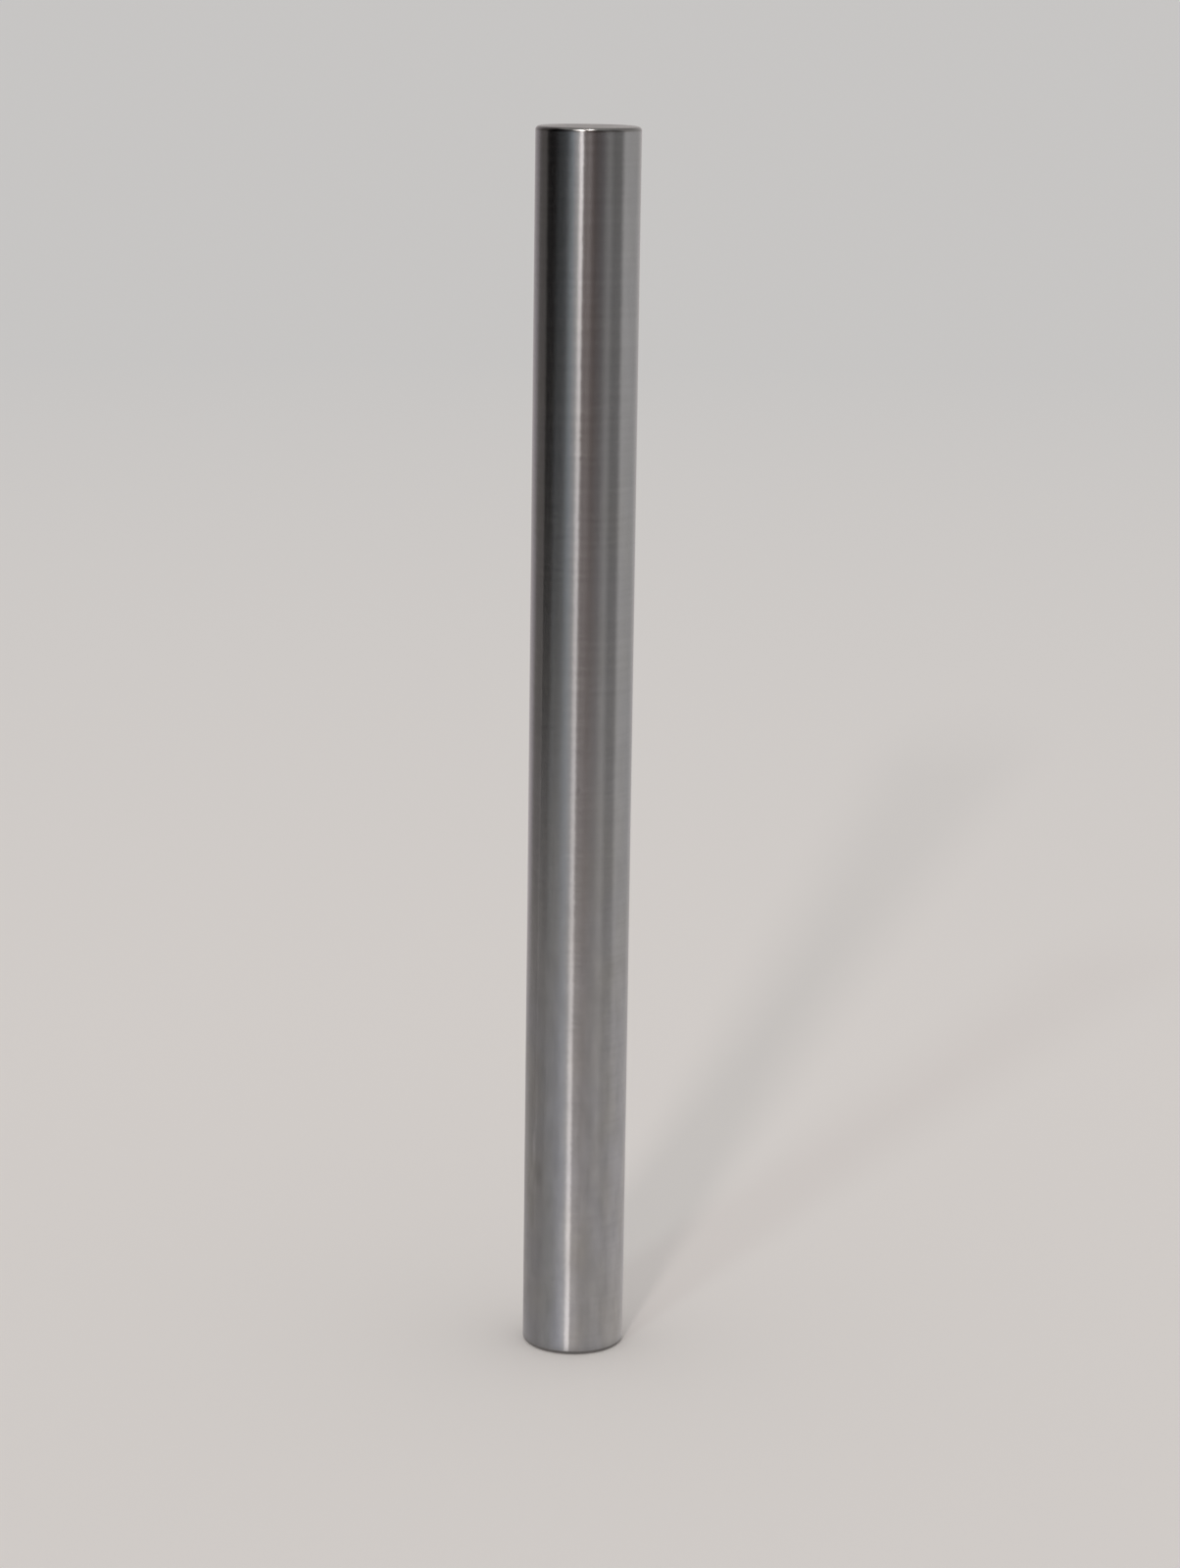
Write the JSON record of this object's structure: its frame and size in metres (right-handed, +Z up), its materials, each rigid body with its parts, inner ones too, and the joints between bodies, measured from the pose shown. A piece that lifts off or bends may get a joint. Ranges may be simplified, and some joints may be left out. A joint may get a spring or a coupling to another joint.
{
  "type": "linear shaft",
  "caption": "Plain round shaft of hardened, ground steel with the edge of each end lightly rounded, which a linear bearing or bushing slides along.",
  "frame": {"origin": "centre of the lower end face, which the shaft stands on", "axes": "+Z up along the shaft's axis; X and Y are equal, because the shaft is round"},
  "size_m": [0.0126, 0.0126, 0.1524],
  "materials": {
    "ground_steel": "bare bearing steel, ground round the guide diameter to a satin mirror, turned on the end faces and their rounded edges"
  },
  "bodies": {
    "root": {"linear_shaft": "ground_steel"}
  },
  "joints": []
}
